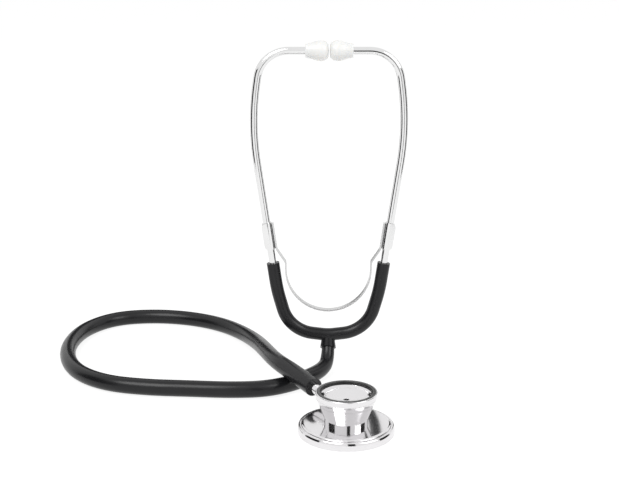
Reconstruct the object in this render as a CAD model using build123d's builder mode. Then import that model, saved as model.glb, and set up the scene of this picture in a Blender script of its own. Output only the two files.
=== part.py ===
from build123d import *
import math
import os

# Dual-head stethoscope, millimetres, +Z up, standing on z = 0.
# The headset stands in the plane y = headset_y, the chest piece lies on its diaphragm in front
# of it, and the acoustic tube lies in a loop to the left.
# Origin: on the ground, under the middle of the headset and chest piece together.

# ---- ear tubes -------------------------------------------------------------------------------
ear_tube_radius = 2.2
ear_tube_wall = 0.6
ear_foot = (31.0, 54.0)          # lower end, inside the yoke's arm: (distance from middle, height)
ear_waist = (44.9, 150.0)        # widest corner of the tube's centre line
ear_shoulder = (38.6, 191.1)     # corner of the top bend
ear_end_x = 8.6                  # where the tube ends, inside the nipple
ear_waist_bend = 155.0
ear_shoulder_bend = 18.0

# ---- ear tips --------------------------------------------------------------------------------
tip_radius = 5.8
tip_length = 13.2
tip_skirt_radius = 4.0
tip_gap = 0.8                    # between the two tips at rest
tip_channel_radius = 1.2
nipple_radius = 2.9
nipple_length = 8.0
nipple_reach = 3.6               # how far the nipple reaches past the tube's end

# ---- spring and its clamps -------------------------------------------------------------------
clamp_bottom_z = 75.5
clamp_top_z = 91.2
clamp_wall = 0.8
clamp_wing = 3.2                 # from the tube's axis to the outer edge of the wings
wing_rounding = 2.2
strip_thickness = 0.9
strip_width = 4.2
spring_bottom_z = 37.6
spring_radius = 25.2
spring_neck_z = 67.2             # height where the strip turns out to its clamp
running_clearance = 0.05

# ---- yoke ------------------------------------------------------------------------------------
yoke_radius = 3.8
arm_top_z = 66.8
arm_knee_z = 50.0
arm_hip = (23.2, 24.6)
yoke_bottom_z = 21.8
arm_knee_bend = 90.0
arm_hip_bend = 21.0
yoke_middle_bend = 32.0
stem_drop = 7.6                  # from the middle of the yoke down to the tube
stem_lean = 1.6                  # and how far it comes forward

# ---- acoustic tube ---------------------------------------------------------------------------
tube_radius = 4.75
tube_swell = 0.35                # how much the tube swells over the chest-piece stem
tube_swell_step = 0.08           # what is left of the swelling past the stem's end
arc_share = 0.45                 # of the shorter run, spent on each arc

# ---- chest piece -----------------------------------------------------------------------------
chest_reach = 93.2               # headset plane to the chest piece's axis
head_x = 8.1
disc_radius = 25.6
rim_height = 4.6
rim_wall = 2.1
rim_lip = 1.3                    # inward lip that holds the diaphragm
lip_height = 0.7
film_thickness = 0.4
gasket_height = 0.6
gasket_width = 1.6
plate_top_z = 5.4
plate_skin = 1.9
body_radius = 11.4
body_top_radius = 14.7
body_waist_z = 8.0
body_top_z = 16.2
bell_radius = 16.3
bell_top_z = 23.0
bell_bulge_z = 20.2
dish_radius = 13.4
dish_bottom_z = 18.4
ring_depth = 1.8
ring_width = 1.9
channel_radius = 1.1

# ---- stem and its bearing --------------------------------------------------------------------
stem_heading = 30.0              # degrees from straight back towards the left
stem_rise = 3.0                  # degrees up
stem_axis_z = 11.5
journal_radius = 3.7
journal_back = 6.6
journal_front = 6.6
spigot_radius = 2.9
stem_bore_radius = 1.7
tube_mouth = 34.0                # chest-piece axis to the tube's mouth
stem_insertion = 15.0
nut_length = 3.4
nut_gap = 0.1
collar_from = 16.0
collar_length = 2.2
collar_radius = 4.3
detent_place = 3.4
ball_radius = 0.9
groove_depth = 0.5
detent_spring_length = 2.0
detent_wire_radius = 0.13
detent_coil_pitch = 0.5
screw_head_out = 0.5             # how far the set screw stands out of the body
screw_slot = 0.4

tip_edge_x = tip_gap / 2
headset_y = (chest_reach + disc_radius - tip_radius) / 2
head_y = headset_y - chest_reach
lean = math.atan2(ear_waist[0] - ear_foot[0], ear_waist[1] - ear_foot[1])
axis_up = (math.sin(lean), 0, math.cos(lean))
stem_top = (0, headset_y, yoke_bottom_z)
tube_start = (0, headset_y - stem_lean, yoke_bottom_z - stem_drop)
tube_drop = (-0.3, headset_y - 6.2, 7.5)     # the tube's first corner, under the stem
sides = {"left": -1, "right": 1}

heading = math.radians(stem_heading)
rise = math.radians(stem_rise)
stem_dir = Vector(-math.sin(heading) * math.cos(rise), math.cos(heading) * math.cos(rise), math.sin(rise))
stem_side = Vector(math.cos(heading), math.sin(heading), 0)
stem_origin = Vector(head_x, head_y, stem_axis_z)


def on_ear_axis(height, side):
    """A point on the straight lower stretch of an ear tube."""
    return (side * (ear_foot[0] + (height - ear_foot[1]) * math.tan(lean)), headset_y, height)


def stem_plane(distance):
    """The plane across the stem at a distance from the chest piece's axis."""
    return Plane(origin=stem_origin + stem_dir * distance, x_dir=stem_side, z_dir=stem_dir)


def along_stem(distance):
    """A point on the stem's axis."""
    return tuple(stem_origin + stem_dir * distance)


def save(part, name):
    """Label a piece and write it."""
    part.label = name
    export_step(part, f"parts/{name}.step")


os.makedirs("parts", exist_ok=True)
head_plane = Plane(origin=(head_x, head_y, 0), x_dir=(1, 0, 0), z_dir=(0, -1, 0))
head_axis = Axis((head_x, head_y, 0), (0, 0, 1))

# ---- ear tubes, nipples, tips and clamps: a left and a right one of each ------------------------
for side_name, side in sides.items():
    with BuildPart() as ear_tube:
        with BuildLine() as ear_line:
            FilletPolyline(
                (side * ear_foot[0], headset_y, ear_foot[1]),
                (side * ear_waist[0], headset_y, ear_waist[1]),
                (side * ear_shoulder[0], headset_y, ear_shoulder[1]),
                (side * ear_end_x, headset_y, ear_shoulder[1]),
                radius=[ear_waist_bend, ear_shoulder_bend],
            )
        with BuildSketch(Plane(ear_line.line @ 0, z_dir=ear_line.line % 0)):
            Circle(ear_tube_radius)
            Circle(ear_tube_radius - ear_tube_wall, mode=Mode.SUBTRACT)
        sweep()
    save(ear_tube.part, f"{side_name}_ear_tube")

    nipple_plane = Plane(
        origin=(side * (ear_end_x + nipple_length - nipple_reach), headset_y, ear_shoulder[1]),
        x_dir=(0, 1, 0), z_dir=(-side, 0, 0),
    )
    with BuildPart() as nipple:
        with BuildSketch(nipple_plane):
            Circle(nipple_radius)
        extrude(amount=nipple_length)
        with BuildSketch(nipple_plane):
            Circle(ear_tube_radius)
        extrude(amount=nipple_length - nipple_reach, mode=Mode.SUBTRACT)
        with BuildSketch(nipple_plane):
            Circle(tip_channel_radius)
        extrude(amount=nipple_length, mode=Mode.SUBTRACT)
    save(nipple.part, f"{side_name}_tip_nipple")

    tip_plane = Plane(
        origin=(side * (tip_edge_x + tip_length), headset_y, ear_shoulder[1]),
        x_dir=(0, 0, 1), z_dir=(0, 1, 0) if side > 0 else (0, -1, 0),
    )
    tip_mouth_axis = Axis((0, headset_y, ear_shoulder[1]), (side, 0, 0))
    socket_radius = nipple_radius + running_clearance
    socket_depth = tip_edge_x + tip_length - (ear_end_x - nipple_reach) + running_clearance
    with BuildPart() as ear_tip:
        with BuildSketch(Plane.XZ.offset(-headset_y)):
            with BuildLine():
                outer = side * (tip_edge_x + tip_length)
                inner = side * tip_edge_x
                widest = side * (tip_edge_x + tip_length * 0.36)
                z0 = ear_shoulder[1]
                start = Line((outer, z0), (outer, z0 + tip_skirt_radius))
                Spline(start @ 1, (widest, z0 + tip_radius), tangents=((-side, 0.35), (-side, 0)))
                Spline((widest, z0 + tip_radius), (inner, z0 + tip_channel_radius + 1.0),
                       tangents=((-side, 0), (-side * 0.3, -1)))
                Line((inner, z0 + tip_channel_radius + 1.0), (inner, z0))
                Line((inner, z0), (outer, z0))
            make_face()
        revolve(axis=tip_mouth_axis)
        with BuildSketch(Plane((outer, headset_y, z0), x_dir=(0, 1, 0), z_dir=(-side, 0, 0))):
            Circle(socket_radius)
        extrude(amount=socket_depth, mode=Mode.SUBTRACT)
        with BuildSketch(Plane((outer, headset_y, z0), x_dir=(0, 1, 0), z_dir=(-side, 0, 0))):
            Circle(tip_channel_radius)
        extrude(amount=tip_length + 1, mode=Mode.SUBTRACT)
    save(ear_tip.part, f"{side_name}_ear_tip")

    clamp_plane = Plane(
        origin=on_ear_axis(clamp_bottom_z, side), x_dir=(side * math.cos(lean), 0, -math.sin(lean)),
        z_dir=(side * math.sin(lean), 0, math.cos(lean)),
    )
    clamp_length = (clamp_top_z - clamp_bottom_z) / math.cos(lean)
    clamp_bore = ear_tube_radius + running_clearance
    clamp_radius = clamp_bore + clamp_wall
    with BuildPart() as clamp:
        with BuildSketch(clamp_plane):
            Circle(clamp_radius)
            with Locations((clamp_wing / 2, 0)):
                Rectangle(clamp_wing, 2 * clamp_radius)
            Circle(clamp_bore, mode=Mode.SUBTRACT)
            with Locations((clamp_wing / 2, 0)):
                Rectangle(clamp_wing, 2 * clamp_bore, mode=Mode.SUBTRACT)
        extrude(amount=clamp_length)
        wing_tips = clamp.edges().filter_by(Axis.Y).filter_by(
            lambda edge: (edge.center() - clamp_plane.origin).dot(clamp_plane.x_dir) > clamp_wing - 0.1
        )
        fillet(wing_tips, radius=wing_rounding)
    save(clamp.part, f"{side_name}_spring_clamp")

# ---- leaf spring: one steel strip from clamp to clamp -------------------------------------------
spring_offset = ear_tube_radius + running_clearance + clamp_wall + strip_thickness / 2


def spring_seat(height, side):
    """A point of the strip's middle line along the clamp's inner face."""
    x, y, z = on_ear_axis(height, side)
    return (x - side * spring_offset * math.cos(lean), y, z + spring_offset * math.sin(lean))


spring_rim_z = spring_bottom_z + spring_radius
with BuildPart() as leaf_spring:
    with BuildLine() as spring_line:
        FilletPolyline(
            spring_seat(clamp_top_z - clamp_wall, -1),
            spring_seat(clamp_bottom_z - clamp_wall, -1),
            (-spring_radius, headset_y, spring_neck_z),
            (-spring_radius, headset_y, spring_rim_z),
            radius=[3.0, 4.0],
        )
        ThreePointArc(
            (-spring_radius, headset_y, spring_rim_z), (0, headset_y, spring_bottom_z),
            (spring_radius, headset_y, spring_rim_z),
        )
        FilletPolyline(
            (spring_radius, headset_y, spring_rim_z),
            (spring_radius, headset_y, spring_neck_z),
            spring_seat(clamp_bottom_z - clamp_wall, 1),
            spring_seat(clamp_top_z - clamp_wall, 1),
            radius=[4.0, 3.0],
        )
    with BuildSketch(Plane(spring_line.line @ 0, x_dir=(0, 1, 0), z_dir=spring_line.line % 0)):
        Rectangle(strip_width, strip_thickness)
    sweep()
save(leaf_spring.part, "leaf_spring")

# ---- yoke: two arms and the stem, one moulding --------------------------------------------------
with BuildPart() as yoke:
    with BuildLine() as arm_line:
        FilletPolyline(
            on_ear_axis(arm_top_z, -1), on_ear_axis(arm_knee_z, -1),
            (-arm_hip[0], headset_y, arm_hip[1]), stem_top,
            (arm_hip[0], headset_y, arm_hip[1]),
            on_ear_axis(arm_knee_z, 1), on_ear_axis(arm_top_z, 1),
            radius=[arm_knee_bend, arm_hip_bend, yoke_middle_bend, arm_hip_bend, arm_knee_bend],
        )
    with BuildSketch(Plane(arm_line.line @ 0, z_dir=arm_line.line % 0)):
        Circle(yoke_radius)
    sweep()
    with BuildSketch(Plane(origin=tube_start, z_dir=Vector(*tube_start) - Vector(*tube_drop))):
        Circle(tube_radius)
    with BuildSketch(Plane(origin=stem_top, z_dir=(0, 0, 1))):
        Circle(yoke_radius * 0.95)
    loft()
    for side in sides.values():
        arm_mouth = Plane(origin=on_ear_axis(arm_top_z, side),
                          z_dir=(-side * math.sin(lean), 0, -math.cos(lean)))
        with BuildSketch(arm_mouth):
            Circle(ear_tube_radius)
        extrude(amount=(arm_top_z - ear_foot[1]) / math.cos(lean), mode=Mode.SUBTRACT)
save(yoke.part, "yoke")

# ---- acoustic tube: from the yoke's stem round the loop to the chest piece ----------------------
tube_route = [
    tube_start,
    tube_drop,
    (-3.5, 42.0, 5.2),
    (-10.5, 32.0, 4.8),
    (-20.5, 20.5, 4.8),
    (-36.0, 11.5, 4.8),
    (-56.0, 10.0, 4.8),
    (-80.0, 12.2, 4.8),
    (-104.0, 14.0, 4.8),
    (-128.5, 20.5, 4.8),
    (-148.0, 37.0, 4.8),
    (-159.5, 61.5, 4.8),
    (-163.5, 90.0, 4.8),
    (-158.5, 118.5, 4.8),
    (-142.5, 139.5, 4.8),
    (-117.0, 145.0, 4.8),
    (-90.5, 139.5, 4.8),
    (-68.5, 126.0, 4.8),
    (-53.0, 106.0, 5.2),
    (-43.5, 81.0, 8.2),
    (-37.5, 54.0, 12.8),
    (-30.9, 29.3, 15.3),
    along_stem(56.0),
    along_stem(tube_mouth),
]


def corner_radii(route):
    """The largest arc that each corner's runs allow."""
    radii = []
    for before, corner, after in zip(route, route[1:], route[2:]):
        run_in = Vector(*corner) - Vector(*before)
        run_out = Vector(*after) - Vector(*corner)
        half_turn = math.radians(run_in.get_angle(run_out)) / 2
        radii.append(arc_share * min(run_in.length, run_out.length) / math.tan(half_turn))
    return radii


tube_radii = corner_radii(tube_route)
mouth_plane = stem_plane(tube_mouth)
with BuildPart() as main_tube:
    with BuildLine() as tube_line:
        FilletPolyline(*tube_route, radius=tube_radii)
    with BuildSketch(Plane(tube_line.line @ 0, z_dir=tube_line.line % 0)):
        Circle(tube_radius)
    sweep()
    swept_volume = main_tube.part.volume
    with BuildSketch(mouth_plane):
        Circle(tube_radius + tube_swell)
    with BuildSketch(mouth_plane.offset(stem_insertion / 2)):
        Circle(tube_radius + tube_swell)
    with BuildSketch(mouth_plane.offset(stem_insertion)):
        Circle(tube_radius + tube_swell_step)
    loft(ruled=True)
    with BuildSketch(mouth_plane):
        Circle(spigot_radius)
    extrude(amount=stem_insertion, mode=Mode.SUBTRACT)
save(main_tube.part, "main_tube")
tube_length = sum(edge.length for edge in tube_line.edges())
print("tube length", round(tube_length, 1), "radii", [round(radius, 1) for radius in tube_radii])
print("tube volume", round(swept_volume), "section x length", round(math.pi * tube_radius ** 2 * tube_length))

# ---- chest-piece stem: hollow shaft with a journal, a spigot and barbs ---------------------------
stem_end = tube_mouth + stem_insertion
with BuildPart() as chest_stem:
    with BuildSketch(stem_plane(-journal_back)):
        Circle(journal_radius)
    extrude(amount=journal_back + journal_front)
    with BuildSketch(stem_plane(journal_front)):
        Circle(spigot_radius)
    extrude(amount=stem_end - journal_front)
    with BuildSketch(stem_plane(detent_place - ball_radius)):
        Circle(journal_radius)
        Circle(journal_radius - groove_depth, mode=Mode.SUBTRACT)
    extrude(amount=2 * ball_radius, mode=Mode.SUBTRACT)
    with BuildSketch(stem_plane(-channel_radius)):
        Circle(stem_bore_radius)
    extrude(amount=stem_end + channel_radius, mode=Mode.SUBTRACT)
    with BuildSketch(Plane(origin=stem_origin, z_dir=(0, 0, -1))):
        Circle(channel_radius)
    extrude(amount=journal_radius * 2, mode=Mode.SUBTRACT)
save(chest_stem.part, "chest_stem")

with BuildPart() as stem_collar:
    with BuildSketch(stem_plane(collar_from)):
        Circle(collar_radius)
        Circle(spigot_radius, mode=Mode.SUBTRACT)
    extrude(amount=collar_length)
    chamfer(stem_collar.edges().filter_by(GeomType.CIRCLE).sort_by(SortBy.RADIUS)[-2:], length=0.4)
save(stem_collar.part, "stem_collar")

# ---- chest-piece body with the stem's bearing ----------------------------------------------------
bearing_radius = journal_radius + running_clearance
nut_from = journal_front + nut_gap
detent_axis = stem_side
ball_place = journal_radius - groove_depth + running_clearance + ball_radius
detent_plane = Plane(origin=stem_plane(detent_place).origin, x_dir=stem_dir, z_dir=detent_axis)
body_slope = (body_top_radius - body_radius) / (body_top_z - body_waist_z)
bearing_face_radius = body_radius + (stem_axis_z - body_waist_z) * body_slope
screw_end = math.sqrt(bearing_face_radius ** 2 - detent_place ** 2) + screw_head_out
with BuildPart() as chest_body:
    with BuildSketch(head_plane):
        with BuildLine():
            Polyline(
                (0, plate_top_z), (body_radius, plate_top_z), (body_radius, body_waist_z),
                (body_top_radius, body_top_z), (0, body_top_z), close=True,
            )
        make_face()
    revolve(axis=head_axis)
    with BuildSketch(stem_plane(-journal_back - nut_gap)):
        Circle(bearing_radius)
    extrude(amount=journal_back + nut_gap + disc_radius, mode=Mode.SUBTRACT)
    with BuildSketch(Plane(origin=(head_x, head_y, plate_top_z))):
        Circle(channel_radius)
    extrude(amount=body_top_z - plate_top_z, mode=Mode.SUBTRACT)
    with BuildSketch(detent_plane):
        Circle(ball_radius + running_clearance)
    extrude(amount=body_top_radius, mode=Mode.SUBTRACT)
save(chest_body.part, "chest_body")

with BuildPart() as gland_nut:
    with BuildSketch(stem_plane(nut_from)):
        Circle(bearing_radius)
        Circle(spigot_radius + running_clearance, mode=Mode.SUBTRACT)
    extrude(amount=nut_length)
save(gland_nut.part, "gland_nut")

with BuildPart() as detent_ball:
    with Locations(detent_plane.offset(ball_place).location):
        Sphere(ball_radius)
save(detent_ball.part, "detent_ball")

coil_radius = ball_radius - detent_wire_radius
coil_base = detent_plane.offset(ball_place + ball_radius + detent_wire_radius).origin
with BuildPart() as detent_spring:
    with BuildLine() as coil_line:
        Helix(pitch=detent_coil_pitch, height=detent_spring_length, radius=coil_radius,
              center=coil_base, direction=detent_axis)
    with BuildSketch(Plane(coil_line.line @ 0, z_dir=coil_line.line % 0)):
        Circle(detent_wire_radius)
    sweep(is_frenet=True)
save(detent_spring.part, "detent_spring")

screw_from = ball_place + ball_radius + detent_spring_length + 2 * detent_wire_radius
with BuildPart() as detent_screw:
    with BuildSketch(detent_plane.offset(screw_from)):
        Circle(ball_radius + running_clearance)
    extrude(amount=screw_end - screw_from)
    with BuildSketch(detent_plane.offset(screw_end)):
        Rectangle(4 * ball_radius, screw_slot)
    extrude(amount=-screw_slot, mode=Mode.SUBTRACT)
save(detent_screw.part, "detent_screw")

# ---- bell side -----------------------------------------------------------------------------------
with BuildPart() as bell:
    with BuildSketch(head_plane):
        with BuildLine():
            Polyline((channel_radius, body_top_z), (body_top_radius, body_top_z),
                     (bell_radius - 0.5, bell_bulge_z - 1.2))
            ThreePointArc((bell_radius - 0.5, bell_bulge_z - 1.2), (bell_radius, bell_bulge_z),
                          (bell_radius, bell_bulge_z + 1.4))
            Polyline(
                (bell_radius, bell_bulge_z + 1.4), (bell_radius - 0.3, bell_top_z - 0.3),
                (bell_radius - 0.7, bell_top_z - 0.3),
                (bell_radius - 0.7, bell_top_z - ring_depth),
                (dish_radius, bell_top_z - ring_depth),
            )
            ThreePointArc((dish_radius, bell_top_z - ring_depth), (dish_radius * 0.6, dish_bottom_z + 0.9),
                          (channel_radius, dish_bottom_z))
            Line((channel_radius, dish_bottom_z), (channel_radius, body_top_z))
        make_face()
    revolve(axis=head_axis)
save(bell.part, "bell")

with BuildPart() as non_chill_ring:
    with BuildSketch(head_plane):
        with BuildLine():
            outer_radius = bell_radius - 0.7
            Polyline(
                (outer_radius - ring_width, bell_top_z - ring_depth), (outer_radius, bell_top_z - ring_depth),
                (outer_radius, bell_top_z - 0.4), (outer_radius - 0.4, bell_top_z),
                (outer_radius - ring_width + 0.3, bell_top_z),
                (outer_radius - ring_width, bell_top_z - 0.4), close=True,
            )
        make_face()
    revolve(axis=head_axis)
save(non_chill_ring.part, "non_chill_ring")

# ---- diaphragm side ------------------------------------------------------------------------------
plate_radius = disc_radius - rim_wall
gasket_z = lip_height + film_thickness
plate_base_z = gasket_z + gasket_height
with BuildPart() as diaphragm_rim:
    with BuildSketch(head_plane):
        with BuildLine():
            Polyline(
                (plate_radius - rim_lip, 0), (disc_radius - 0.5, 0), (disc_radius, 0.5),
                (disc_radius, rim_height - 0.9), (disc_radius - 0.9, rim_height), (plate_radius, rim_height),
                (plate_radius, lip_height), (plate_radius - rim_lip, lip_height), close=True,
            )
        make_face()
    revolve(axis=head_axis)
save(diaphragm_rim.part, "diaphragm_rim")

with BuildPart() as diaphragm:
    with BuildSketch(Plane(origin=(head_x, head_y, lip_height))):
        Circle(plate_radius)
    extrude(amount=film_thickness)
save(diaphragm.part, "diaphragm")

with BuildPart() as diaphragm_gasket:
    with BuildSketch(Plane(origin=(head_x, head_y, gasket_z))):
        Circle(plate_radius)
        Circle(plate_radius - gasket_width, mode=Mode.SUBTRACT)
    extrude(amount=gasket_height)
save(diaphragm_gasket.part, "diaphragm_gasket")

with BuildPart() as back_plate:
    with BuildSketch(head_plane):
        with BuildLine():
            Polyline(
                (plate_radius - gasket_width, plate_base_z), (plate_radius, plate_base_z),
                (plate_radius, rim_height), (plate_radius - 0.5, plate_top_z - 0.3),
                (plate_radius - 1.2, plate_top_z), (channel_radius, plate_top_z),
                (channel_radius, plate_top_z - plate_skin),
                (plate_radius - 2 * gasket_width, plate_base_z + 0.8), close=True,
            )
        make_face()
    revolve(axis=head_axis)
save(back_plate.part, "back_plate")
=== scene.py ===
"""Dual-head stethoscope: the looks of each piece, the studio and the camera."""
import logging
import math
from dataclasses import dataclass, field
from enum import Enum
from typing import Any, Callable, Optional, Sequence

import bmesh
import bpy
from mathutils import Matrix, Vector


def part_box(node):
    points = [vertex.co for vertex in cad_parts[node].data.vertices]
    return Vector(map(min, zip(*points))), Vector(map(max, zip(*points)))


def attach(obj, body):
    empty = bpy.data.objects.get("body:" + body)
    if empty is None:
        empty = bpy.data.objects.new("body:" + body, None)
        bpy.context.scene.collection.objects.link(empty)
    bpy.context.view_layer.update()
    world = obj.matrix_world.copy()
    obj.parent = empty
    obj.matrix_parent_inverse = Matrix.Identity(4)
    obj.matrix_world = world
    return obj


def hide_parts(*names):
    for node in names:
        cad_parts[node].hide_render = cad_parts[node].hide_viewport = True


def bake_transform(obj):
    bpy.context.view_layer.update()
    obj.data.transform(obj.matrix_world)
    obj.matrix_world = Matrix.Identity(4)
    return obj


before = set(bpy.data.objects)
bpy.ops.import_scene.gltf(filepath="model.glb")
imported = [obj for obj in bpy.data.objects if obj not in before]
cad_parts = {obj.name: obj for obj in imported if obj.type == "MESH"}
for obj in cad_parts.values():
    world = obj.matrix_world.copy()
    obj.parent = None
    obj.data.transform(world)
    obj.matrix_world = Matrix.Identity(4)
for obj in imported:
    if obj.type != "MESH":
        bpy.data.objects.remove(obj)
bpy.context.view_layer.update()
log = logging.getLogger("stethoscope")
MM = 0.001
SIDES = {"left": -1, "right": 1}
Point = tuple[float, float, float]
Colour = tuple[float, float, float, float]


def grey(level: float) -> Colour:
    """Return an opaque grey."""
    return (level, level, level, 1.0)


# ---- shader maths ------------------------------------------------------------------------------
class Signal:
    """A socket of a node tree, with the arithmetic that the finishes use."""

    def __init__(self, shader: "Shader", socket: bpy.types.NodeSocket) -> None:
        """Hold the shader and its output socket."""
        self.shader = shader
        self.socket = socket

    def _math(self, operation: str, *values: Any) -> "Signal":
        """Add a Math node on values and return its result."""
        return self.shader.node("ShaderNodeMath", dict(operation=operation), dict(enumerate(values)))

    def __add__(self, other: Any) -> "Signal":
        """Return self + other."""
        return self._math("ADD", self, other)

    def __radd__(self, other: Any) -> "Signal":
        """Return other + self."""
        return self._math("ADD", other, self)

    def __mul__(self, other: Any) -> "Signal":
        """Return self * other."""
        return self._math("MULTIPLY", self, other)

    def __rmul__(self, other: Any) -> "Signal":
        """Return other * self."""
        return self._math("MULTIPLY", other, self)


class Shader:
    """One material's node tree, built from named nodes."""

    def __init__(self, name: str) -> None:
        """Make a material with a Principled BSDF.

        Args:
            name: the material's name.
        """
        self.material = bpy.data.materials.new(name)
        self.material.use_nodes = True
        self.tree = self.material.node_tree
        self.surface = self.tree.nodes["Principled BSDF"]

    def node(self, kind: str, settings: dict[str, Any], inputs: dict[Any, Any], output: Any = 0) -> Signal:
        """Add a node.

        Args:
            kind: the node's type.
            settings: its settings, such as a Math node's operation.
            inputs: values or signals by socket name or number.
            output: the output's name or number.

        Returns:
            The output as a signal.
        """
        made = self.tree.nodes.new(kind)
        for key, value in settings.items():
            setattr(made, key, value)
        for key, value in inputs.items():
            self.feed(made.inputs[key], value)
        return Signal(self, made.outputs[output])

    def feed(self, socket: bpy.types.NodeSocket, value: Any) -> None:
        """Link a signal to a socket, or set a plain value on it."""
        if isinstance(value, Signal):
            self.tree.links.new(value.socket, socket)
        else:
            socket.default_value = value

    def place(self) -> Signal:
        """Return the object coordinates."""
        return self.node("ShaderNodeTexCoord", {}, {}, "Object")

    def noise(self, scale: float, detail: float = 3.0, stretch: Optional[Point] = None) -> Signal:
        """Return noise in object coordinates.

        Args:
            scale: features per metre.
            detail: octaves.
            stretch: scale of each axis, for grain.

        Returns:
            The noise, about 0.5 on average.
        """
        where = self.place()
        if stretch is not None:
            where = self.node("ShaderNodeMapping", {}, {"Vector": where, "Scale": stretch})
        return self.node("ShaderNodeTexNoise", {}, {"Vector": where, "Scale": scale, "Detail": detail})

    def mix(self, factor: Any, first: Colour, second: Colour) -> Signal:
        """Return a blend of two colours."""
        return self.node("ShaderNodeMix", dict(data_type="RGBA"), {0: factor, 6: first, 7: second}, 2)

    def bump(self, height: Signal, strength: float, distance: float) -> Signal:
        """Return a bump normal."""
        values = {"Height": height, "Strength": strength, "Distance": distance}
        return self.node("ShaderNodeBump", {}, values)

    def surface_set(self, **values: Any) -> None:
        """Set or link the surface's sockets, given with underscores for blanks."""
        for key, value in values.items():
            self.feed(self.surface.inputs[key.replace("_", " ")], value)


# ---- finishes ----------------------------------------------------------------------------------
@dataclass(frozen=True)
class MetalFinish:
    """Plated metal: base tint, haze from handling, and fine polishing marks."""

    name: str
    light: Colour
    dark: Colour
    roughness: float
    haze: float
    haze_scale: float = 90.0
    grain: Point = (1.0, 1.0, 1.0)
    grain_scale: float = 900.0
    grain_depth: float = 0.000004

    def make(self) -> bpy.types.Material:
        """Return the material."""
        shader = Shader(self.name)
        cloud = shader.noise(self.haze_scale)
        fine = shader.noise(self.grain_scale, 4.0, self.grain)
        shader.surface_set(
            Base_Color=shader.mix(cloud, self.dark, self.light),
            Metallic=1.0,
            Roughness=self.roughness + cloud * self.haze + fine * (self.haze * 0.5),
            Normal=shader.bump(fine, 0.08, self.grain_depth),
        )
        return shader.material


@dataclass(frozen=True)
class PlasticFinish:
    """Moulded plastic or film: two close tints, gloss with smudges and a fine skin."""

    name: str
    light: Colour
    dark: Colour
    roughness: float
    smudge: float
    coat: float
    skin_depth: float
    skin_scale: float = 700.0
    soft: float = 0.0
    shine: float = 0.5

    def make(self) -> bpy.types.Material:
        """Return the material."""
        shader = Shader(self.name)
        cloud = shader.noise(120.0)
        skin = shader.noise(self.skin_scale, 5.0)
        shader.surface_set(
            Base_Color=shader.mix(cloud, self.dark, self.light),
            Roughness=self.roughness + cloud * self.smudge,
            Coat_Weight=self.coat,
            Coat_Roughness=0.12,
            Specular_IOR_Level=self.shine,
            Subsurface_Weight=self.soft,
            Subsurface_Radius=(0.004, 0.0035, 0.003),
            Subsurface_Scale=1.0,
            Normal=shader.bump(skin, 0.3, self.skin_depth),
        )
        return shader.material


class Finish(Enum):
    """The finishes of the stethoscope, by the record's slot."""

    TUBING = "tubing"
    EAR_TIPS = "ear_tips"
    BRIGHT_CHROME = "bright_chrome"
    CHEST_CHROME = "chest_chrome"
    SPRING_STRIP = "spring_strip"
    BRASS = "brass_parts"
    STEEL = "steel_parts"
    BLACK_RING = "black_ring"
    FILM = "film"
    SEAL = "seal"


FINISHES = {
    Finish.TUBING: PlasticFinish("black_tubing", (0.009, 0.009, 0.010, 1), (0.005, 0.005, 0.006, 1),
                                 0.24, 0.1, 0.02, 0.00003, 260.0, shine=0.3),
    Finish.EAR_TIPS: PlasticFinish("milky_ear_tips", (0.72, 0.72, 0.71, 1), (0.66, 0.66, 0.65, 1),
                                   0.34, 0.08, 0.1, 0.00003, 400.0, 0.35),
    Finish.BRIGHT_CHROME: MetalFinish("bright_chrome", grey(0.80), grey(0.72), 0.05, 0.05),
    Finish.CHEST_CHROME: MetalFinish("chest_piece_chrome", (0.80, 0.79, 0.80, 1), (0.73, 0.72, 0.73, 1),
                                     0.06, 0.06),
    Finish.SPRING_STRIP: MetalFinish("plated_strip", grey(0.66), grey(0.56), 0.2, 0.12,
                                     grain=(1.0, 6.0, 1.0)),
    Finish.BRASS: MetalFinish("turned_brass", (0.75, 0.58, 0.3, 1), (0.66, 0.5, 0.25, 1), 0.2, 0.1),
    Finish.STEEL: MetalFinish("plain_steel", grey(0.6), grey(0.5), 0.25, 0.1),
    Finish.BLACK_RING: PlasticFinish("black_ring", grey(0.016), grey(0.01), 0.3, 0.1, 0.2, 0.00003),
    Finish.FILM: PlasticFinish("diaphragm_film", (0.82, 0.83, 0.84, 1), (0.77, 0.78, 0.8, 1),
                               0.22, 0.08, 0.2, 0.00002),
    Finish.SEAL: PlasticFinish("seal_rubber", grey(0.05), grey(0.035), 0.6, 0.1, 0.0, 0.00005),
}


class Wardrobe:
    """Makes each finish once and dresses pieces in it."""

    def __init__(self) -> None:
        """Start with no material made."""
        self.made: dict[Finish, bpy.types.Material] = {}

    def dress(self, piece: bpy.types.Object, finish: Finish) -> None:
        """Give a piece its only material."""
        if finish not in self.made:
            self.made[finish] = FINISHES[finish].make()
        piece.data.materials.clear()
        piece.data.materials.append(self.made[finish])


wardrobe = Wardrobe()


# ---- mesh helpers ------------------------------------------------------------------------------
def finish_piece(mesh: bmesh.types.BMesh, name: str, finish: Finish,
                 smooth_angle: float = 35.0) -> bpy.types.Object:
    """Turn a bmesh into a shown piece.

    Args:
        mesh: the mesh, in the frame's metres.
        name: the piece's name.
        finish: its finish.
        smooth_angle: edges sharper than this, in degrees, stay sharp.

    Returns:
        The new object, at the origin.
    """
    for face in mesh.faces:
        face.smooth = True
    for edge in mesh.edges:
        edge.smooth = len(edge.link_faces) != 2 or edge.calc_face_angle(0.0) < math.radians(smooth_angle)
    data = bpy.data.meshes.new(name)
    mesh.to_mesh(data)
    mesh.free()
    piece = bpy.data.objects.new(name, data)
    bpy.context.scene.collection.objects.link(piece)
    wardrobe.dress(piece, finish)
    return piece


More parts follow.
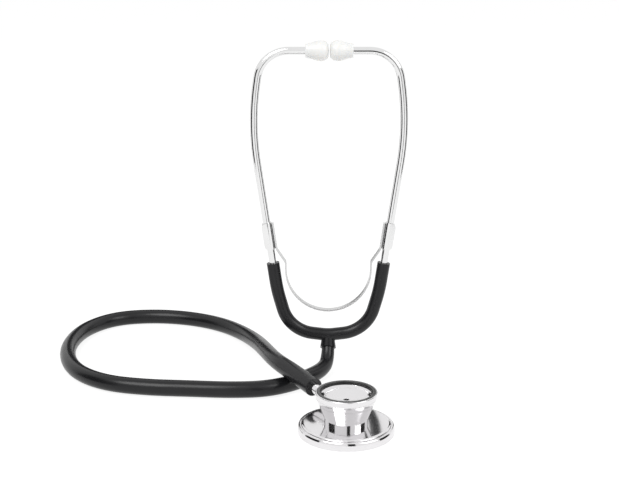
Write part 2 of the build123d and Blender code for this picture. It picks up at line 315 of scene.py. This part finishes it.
@dataclass
class Outline:
    """A turned piece's outline: corners of (radius, height), each with its rounding."""

    corners: list[tuple[float, float, float]]
    steps: int = 5

    def points(self) -> list[tuple[float, float]]:
        """Return the outline with its rounded corners, closed."""
        result: list[tuple[float, float]] = []
        count = len(self.corners)
        for index, (radius, height, rounding) in enumerate(self.corners):
            here = Vector((radius, height))
            before = Vector(self.corners[index - 1][:2])
            after = Vector(self.corners[(index + 1) % count][:2])
            if rounding <= 0:
                result.append((radius, height))
                continue
            back = (before - here).normalized() * rounding
            ahead = (after - here).normalized() * rounding
            for step in range(self.steps + 1):
                share = step / self.steps
                point = here + back * (1 - share) ** 2 + ahead * share ** 2
                result.append((point.x, point.y))
        return result


def turned(outline: Outline, place: Matrix, segments: int = 128) -> bmesh.types.BMesh:
    """Spin an outline about the local Z axis.

    Args:
        outline: the closed outline, in metres.
        place: where the axis and its origin go.
        segments: steps round the circle.

    Returns:
        The closed mesh.
    """
    mesh = bmesh.new()
    ring = [mesh.verts.new((max(r, 0.0), 0.0, z)) for r, z in outline.points()]
    edges = [mesh.edges.new((a, b)) for a, b in zip(ring, ring[1:] + ring[:1])]
    bmesh.ops.spin(mesh, geom=ring + edges, cent=(0, 0, 0), axis=(0, 0, 1), dvec=(0, 0, 0),
                   angle=2 * math.pi, steps=segments, use_merge=True, use_duplicate=False)
    bmesh.ops.remove_doubles(mesh, verts=mesh.verts, dist=1e-7)
    bmesh.ops.dissolve_degenerate(mesh, dist=1e-8, edges=mesh.edges)
    bmesh.ops.transform(mesh, matrix=place, verts=mesh.verts)
    bmesh.ops.recalc_face_normals(mesh, faces=mesh.faces)
    return mesh


def middle_of(node: str) -> Vector:
    """Return the centre of a CAD node's box."""
    low, high = (Vector(corner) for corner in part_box(node))
    return (low + high) / 2


def flipping_part(node: str, name: str, side: int, cuts: Sequence[float]) -> bmesh.types.BMesh:
    """Copy one half of a CAD node, cut into bands.

    Args:
        node: the CAD node.
        name: a name for messages.
        side: -1 for the half left of the middle, 1 for the right.
        cuts: heights at which the copy is cut across.

    Returns:
        The half, open only where it meets its twin.
    """
    mesh = bmesh.new()
    mesh.from_mesh(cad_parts[node].data)
    bmesh.ops.remove_doubles(mesh, verts=mesh.verts, dist=1e-6)
    for height in cuts:
        bmesh.ops.bisect_plane(mesh, geom=mesh.verts[:] + mesh.edges[:] + mesh.faces[:],
                               plane_co=(0, 0, height), plane_no=(0, 0, 1), dist=1e-7)
    bmesh.ops.bisect_plane(mesh, geom=mesh.verts[:] + mesh.edges[:] + mesh.faces[:], dist=1e-7,
                           plane_co=(0, 0, 0), plane_no=(side, 0, 0), clear_inner=True)
    log.debug("%s: %d faces", name, len(mesh.faces))
    return mesh


# ---- sub-assemblies ----------------------------------------------------------------------------
@dataclass
class AcousticTube:
    """The black main tube: one free tube from the yoke's stem to the chest piece."""

    diameter: float = 9.5 * MM
    length: float = 0.515
    neck_scales: tuple[float, ...] = (0.8, 0.84, 0.92, 0.98)
    mouth_scale: float = 1.075
    route_mm: list[Point] = field(default_factory=lambda: [
        (0.0, 54.9, 14.2),
        (-0.3, 50.3, 7.5),
        (-3.5, 42.0, 5.2),
        (-10.5, 32.0, 4.8),
        (-20.5, 20.5, 4.8),
        (-36.0, 11.5, 4.8),
        (-56.0, 10.0, 4.8),
        (-80.0, 12.2, 4.8),
        (-104.0, 14.0, 4.8),
        (-128.5, 20.5, 4.8),
        (-148.0, 37.0, 4.8),
        (-159.5, 61.5, 4.8),
        (-163.5, 90.0, 4.8),
        (-158.5, 118.5, 4.8),
        (-142.5, 139.5, 4.8),
        (-117.0, 145.0, 4.8),
        (-90.5, 139.5, 4.8),
        (-68.5, 126.0, 4.8),
        (-53.0, 106.0, 5.2),
        (-43.5, 81.0, 8.2),
        (-37.5, 54.0, 12.8),
        (-30.9, 29.3, 15.3),
        (-19.86, 11.73, 14.43),
        (-8.88, -7.30, 13.28),
    ])

    def build(self) -> bpy.types.Object:
        """Make the tube as one smooth line with a round section."""
        curve = bpy.data.curves.new("acoustic_tube", "CURVE")
        curve.dimensions = "3D"
        curve.resolution_u = 12
        curve.bevel_depth = self.diameter / 2
        curve.bevel_resolution = 10
        curve.use_fill_caps = True
        spline = curve.splines.new("NURBS")
        spline.points.add(len(self.route_mm) - 1)
        for point, place in zip(spline.points, self.route_mm):
            point.co = (place[0] * MM, place[1] * MM, place[2] * MM, 1.0)
            point.radius = 1.0
        for index, scale in enumerate(self.neck_scales):
            spline.points[index].radius = scale
        spline.points[-1].radius = self.mouth_scale
        spline.points[-2].radius = self.mouth_scale
        spline.order_u = 3
        spline.use_endpoint_u = True
        piece = bpy.data.objects.new("acoustic_tube", curve)
        bpy.context.scene.collection.objects.link(piece)
        wardrobe.dress(piece, Finish.TUBING)
        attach(piece, "tubing")
        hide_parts("main_tube")
        return piece


@dataclass
class Headset:
    """Yoke, leaf spring and ear tips."""

    tip_radius: float = 5.8 * MM
    skirt_radius: float = 4.0 * MM
    socket_radius: float = 2.96 * MM
    dome_share: float = 0.33
    flat_radius: float = 2.6 * MM
    skirt_edge: float = 0.3 * MM
    socket_share: float = 0.36
    taper_steps: int = 12
    channel_radius: float = 1.2 * MM
    band: float = 2.0 * MM
    still_side: float = 0.3
    still_height: float = 0.05
    moving_side: float = 0.92
    yoke_reach: float = 0.82
    strip_reach: float = 0.8

    def yoke(self) -> list[bpy.types.Object]:
        """Split the yoke at its middle and cut each half into bands."""
        return self._halves("yoke", Finish.TUBING)

    def leaf_spring(self) -> list[bpy.types.Object]:
        """Split the strip at its middle and cut each half into bands."""
        return self._halves("leaf_spring", Finish.SPRING_STRIP)

    def _halves(self, node: str, finish: Finish) -> list[bpy.types.Object]:
        """Make two halves of a CAD node, cut into bands.

        Args:
            node: the CAD node.
            finish: the halves' finish.

        Returns:
            The two halves.
        """
        low, high = (Vector(corner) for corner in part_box(node))
        count = int((high.z - low.z) / self.band)
        cuts = [low.z + (high.z - low.z) * step / count for step in range(1, count)]
        made = []
        for side_name, side in SIDES.items():
            name = f"{side_name}_{node}_half"
            piece = finish_piece(flipping_part(node, name, side, cuts), name, finish)
            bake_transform(piece)
            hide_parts(node)
            made.append(piece)
        return made

    def _tip_outline(self, length: float) -> Outline:
        """Return the mushroom outline: a dome, a long taper to the skirt and the socket inside."""
        dome = self.dome_share * length
        corners = [(self.channel_radius, 0.0, 0.0)]
        for degrees in range(15, 90, 15):
            angle = math.radians(degrees)
            radius = self.flat_radius + (self.tip_radius - self.flat_radius) * math.sin(angle)
            corners.append((radius, dome * (1 - math.cos(angle)), 0.0))
        for step in range(self.taper_steps + 1):
            share = step / self.taper_steps
            fall = 0.5 + 0.5 * math.cos(math.pi * share)
            corners.append((self.skirt_radius + (self.tip_radius - self.skirt_radius) * fall,
                            dome + (length - dome - self.skirt_edge) * share, 0.0))
        return Outline(corners + [
            (self.skirt_radius - self.skirt_edge, length, 0.0),
            (self.socket_radius, length, 0.0),
            (self.socket_radius, self.socket_share * length, 0.0),
            (self.channel_radius, self.socket_share * length, 0.0),
        ])

    def ear_tips(self) -> list[bpy.types.Object]:
        """Turn the two soft mushroom tips."""
        made = []
        for side_name, side in SIDES.items():
            node = f"{side_name}_ear_tip"
            low, high = (Vector(corner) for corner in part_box(node))
            centre = (low + high) / 2
            inner_x = high.x if side < 0 else low.x
            length = high.x - low.x
            outline = self._tip_outline(length)
            axis = Vector((side, 0, 0))
            turn = axis.to_track_quat("Z", "Y").to_matrix().to_4x4()
            place = Matrix.Translation((inner_x, centre.y, centre.z)) @ turn
            piece = finish_piece(turned(outline, place, 72), f"{side_name}_soft_tip", Finish.EAR_TIPS)
            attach(piece, f"{side_name}_tip")
            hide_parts(node)
            made.append(piece)
        return made


@dataclass
class ChestPiece:
    """Bell, back plate, rim and ring, turned about the chest piece's axis, and the body as it stands; sizes
    in millimetres.
    """

    dish_radius: float = 13.4
    dish_bottom: float = 18.4
    dish_depth: float = 3.0
    dish_curve: float = 0.9
    segments: int = 160

    def _turn(self, name: str, corners: list[tuple[float, float, float]], node: str,
              finish: Finish = Finish.CHEST_CHROME) -> bpy.types.Object:
        """Turn one piece from corners in millimetres.

        Args:
            name: the piece's name.
            corners: radius, height and rounding of each corner, in millimetres.
            node: the CAD node that it stands for.
            finish: its finish.

        Returns:
            The piece.
        """
        axis = middle_of("diaphragm_rim")
        outline = Outline([(r * MM, z * MM, f * MM) for r, z, f in corners], steps=6)
        mesh = turned(outline, Matrix.Translation((axis.x, axis.y, 0.0)), self.segments)
        piece = finish_piece(mesh, name, finish, 40.0)
        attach(piece, "chest_head")
        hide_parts(node)
        return piece

    def bell_cup(self) -> bpy.types.Object:
        """Turn the bell with its dished inside and the lip round the ring."""
        dish = [(self.dish_radius * math.sin(a),
                 self.dish_bottom + self.dish_depth * (1 - math.cos(a)) ** self.dish_curve, 0.0)
                for a in (math.radians(d) for d in (84, 72, 60, 48, 36, 24, 14))]
        return self._turn("bell_cup", [
            (1.1, 16.2, 0.0), (14.7, 16.2, 0.15), (15.7, 18.6, 1.2), (16.3, 20.4, 1.2), (16.3, 22.75, 0.45),
            (15.6, 22.75, 0.12), (15.6, 21.2, 0.0), *dish, (1.7, 18.45, 0.3), (1.1, 18.3, 0.15),
        ], "bell")

    def neck(self) -> bpy.types.Object:
        """Dress the chest piece's body, with its stem socket, as it stands."""
        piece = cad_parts["chest_body"]
        wardrobe.dress(piece, Finish.CHEST_CHROME)
        return piece

    def rim(self) -> bpy.types.Object:
        """Turn the rim that holds the diaphragm."""
        return self._turn("diaphragm_retaining_rim", [
            (22.2, 0.0, 0.12), (25.6, 0.0, 0.6), (25.6, 3.1, 0.5), (25.0, 4.6, 0.7), (23.5, 4.6, 0.3),
            (23.5, 0.72, 0.0), (22.2, 0.72, 0.1),
        ], "diaphragm_rim")

    def plate(self) -> bpy.types.Object:
        """Turn the polished back plate with its bevelled edge."""
        return self._turn("polished_back_plate", [
            (21.9, 1.7, 0.0), (23.48, 1.7, 0.0), (23.48, 4.75, 0.25), (22.6, 5.38, 0.4), (11.8, 5.4, 0.0),
            (1.1, 5.4, 0.0), (1.1, 3.5, 0.0), (20.3, 2.5, 0.0),
        ], "back_plate")

    def ring(self) -> bpy.types.Object:
        """Turn the black non-chill ring."""
        return self._turn("non_chill_rim_ring", [
            (13.7, 21.2, 0.0), (15.58, 21.2, 0.0), (15.58, 22.95, 0.4), (13.7, 22.95, 0.55),
        ], "non_chill_ring", Finish.BLACK_RING)


class Carried:
    """CAD nodes whose shape is right, dressed as they stand."""

    KEPT = {
        "stem_collar": Finish.CHEST_CHROME, "chest_stem": Finish.CHEST_CHROME,
        "gland_nut": Finish.BRASS, "detent_ball": Finish.STEEL, "detent_spring": Finish.STEEL,
        "detent_screw": Finish.STEEL, "diaphragm": Finish.FILM, "diaphragm_gasket": Finish.SEAL,
        "left_ear_tube": Finish.BRIGHT_CHROME, "right_ear_tube": Finish.BRIGHT_CHROME,
        "left_tip_nipple": Finish.BRIGHT_CHROME, "right_tip_nipple": Finish.BRIGHT_CHROME,
        "left_spring_clamp": Finish.BRIGHT_CHROME, "right_spring_clamp": Finish.BRIGHT_CHROME,
    }

    def dress(self) -> None:
        """Dress each of them."""
        for node, finish in self.KEPT.items():
            wardrobe.dress(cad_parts[node], finish)
            log.info("dressed %s", node)


# ---- studio ------------------------------------------------------------------------------------
@dataclass
class Studio:
    """Camera, plain soft light, white ground and the dark cards that metal mirrors."""

    camera_place: Point = (-0.0112, -0.5907, 0.245)
    pitch: float = 14.5
    lens: float = 65.84
    ground_size: float = 6.0
    ground_glow: float = 1.13
    ground_glow_share: float = 0.76
    world_light: float = 0.65

    def camera(self) -> None:
        """Place the camera."""
        data = bpy.data.cameras.new("camera")
        data.lens = self.lens
        data.sensor_width = 36.0
        data.clip_start = 0.01
        camera = bpy.data.objects.new("camera", data)
        camera.location = self.camera_place
        camera.rotation_euler = (math.radians(90.0 - self.pitch), 0.0, 0.0)
        bpy.context.scene.collection.objects.link(camera)
        bpy.context.scene.camera = camera

    def lamp(self, name: str, place: Point, aim: Point, size: float, power: float) -> None:
        """Place one soft area lamp.

        Args:
            name: the lamp's name.
            place: where it stands.
            aim: where it points.
            size: its side.
            power: its power in watts.
        """
        data = bpy.data.lights.new(name, "AREA")
        data.size = size
        data.energy = power
        lamp = bpy.data.objects.new(name, data)
        lamp.location = place
        lamp.rotation_euler = (Vector(aim) - Vector(place)).to_track_quat("-Z", "Y").to_euler()
        bpy.context.scene.collection.objects.link(lamp)

    def card(self, name: str, place: Point, aim: Point, width: float, height: float) -> None:
        """Place a black card that only mirrors see.

        Args:
            name: the card's name.
            place: its middle.
            aim: where it faces.
            width: its width.
            height: its height.
        """
        mesh = bmesh.new()
        bmesh.ops.create_grid(mesh, x_segments=1, y_segments=1, size=0.5)
        turn = (Vector(aim) - Vector(place)).to_track_quat("Z", "Y").to_matrix().to_4x4()
        scale = Matrix.Diagonal((width, height, 1.0, 1.0))
        bmesh.ops.transform(mesh, matrix=Matrix.Translation(place) @ turn @ scale, verts=mesh.verts)
        data = bpy.data.meshes.new(name)
        mesh.to_mesh(data)
        mesh.free()
        card = bpy.data.objects.new(name, data)
        bpy.context.scene.collection.objects.link(card)
        shader = Shader(name)
        shader.surface_set(Base_Color=grey(0.008), Roughness=1.0)
        data.materials.append(shader.material)
        for ray in ("camera", "diffuse", "shadow", "transmission"):
            setattr(card, f"visible_{ray}", False)

    def ground(self) -> None:
        """Lay the white ground; its glow lights the piece from below and hides most of the shadow."""
        mesh = bmesh.new()
        bmesh.ops.create_grid(mesh, x_segments=1, y_segments=1, size=self.ground_size)
        data = bpy.data.meshes.new("ground")
        mesh.to_mesh(data)
        mesh.free()
        ground = bpy.data.objects.new("ground", data)
        bpy.context.scene.collection.objects.link(ground)
        shader = Shader("ground")
        shader.surface_set(Base_Color=grey(0.9), Roughness=1.0, Specular_IOR_Level=0.0)
        glow = shader.node("ShaderNodeEmission", {}, {"Color": grey(1.0), "Strength": self.ground_glow})
        matt = Signal(shader, shader.surface.outputs[0])
        both = shader.node("ShaderNodeMixShader", {}, {0: self.ground_glow_share, 1: matt, 2: glow})
        shader.feed(shader.tree.nodes["Material Output"].inputs["Surface"], both)
        data.materials.append(shader.material)

    def world(self) -> None:
        """Make the world white to the eye and in mirrors, and softer as light."""
        world = bpy.data.worlds.new("world")
        bpy.context.scene.world = world
        world.use_nodes = True
        tree = world.node_tree
        background = tree.nodes["Background"]
        background.inputs["Color"].default_value = grey(1.0)
        path = tree.nodes.new("ShaderNodeLightPath")
        seen = tree.nodes.new("ShaderNodeMath")
        seen.operation = "MULTIPLY_ADD"
        seen.inputs[1].default_value = 1.0 - self.world_light
        seen.inputs[2].default_value = self.world_light
        straight = tree.nodes.new("ShaderNodeMath")
        straight.operation = "MAXIMUM"
        tree.links.new(path.outputs["Is Camera Ray"], straight.inputs[0])
        tree.links.new(path.outputs["Is Glossy Ray"], straight.inputs[1])
        tree.links.new(straight.outputs[0], seen.inputs[0])
        tree.links.new(seen.outputs[0], background.inputs["Strength"])

    def build(self) -> None:
        """Set up everything round the stethoscope."""
        self.camera()
        self.world()
        self.ground()
        self.lamp("key", (-0.7, -0.8, 1.3), (-0.05, 0.05, 0.05), 0.9, 14.0)
        self.lamp("fill", (1.0, -0.5, 0.9), (0.0, 0.05, 0.08), 0.8, 7.0)
        self.card("card_front", (0.07, -0.36, 0.13), (0.0, 0.06, 0.13), 0.1, 0.3)
        self.card("card_left", (-0.42, -0.06, 0.15), (0.0, 0.06, 0.15), 0.34, 0.3)
        self.card("card_right", (0.40, 0.02, 0.15), (0.0, 0.06, 0.15), 0.26, 0.3)
        self.card("card_back_left", (-0.2, 0.5, 0.15), (0.0, 0.06, 0.15), 0.16, 0.3)
        self.card("card_back_right", (0.26, 0.48, 0.15), (0.0, 0.06, 0.15), 0.12, 0.3)
        bpy.context.scene.view_settings.view_transform = "Standard"


def main() -> None:
    """Build the studio, then each sub-assembly in order."""
    logging.basicConfig(level=logging.INFO, format="%(name)s: %(message)s")
    Studio().build()
    log.info("made %s", AcousticTube().build().name)
    headset = Headset()
    steps: list[Callable[[], list[bpy.types.Object]]] = [headset.yoke, headset.leaf_spring, headset.ear_tips]
    for step in steps:
        for piece in step():
            log.info("made %s", piece.name)
    chest = ChestPiece()
    for make in (chest.bell_cup, chest.neck, chest.rim, chest.plate, chest.ring):
        log.info("made %s", make().name)
    Carried().dress()


if __name__ == "__main__":
    main()
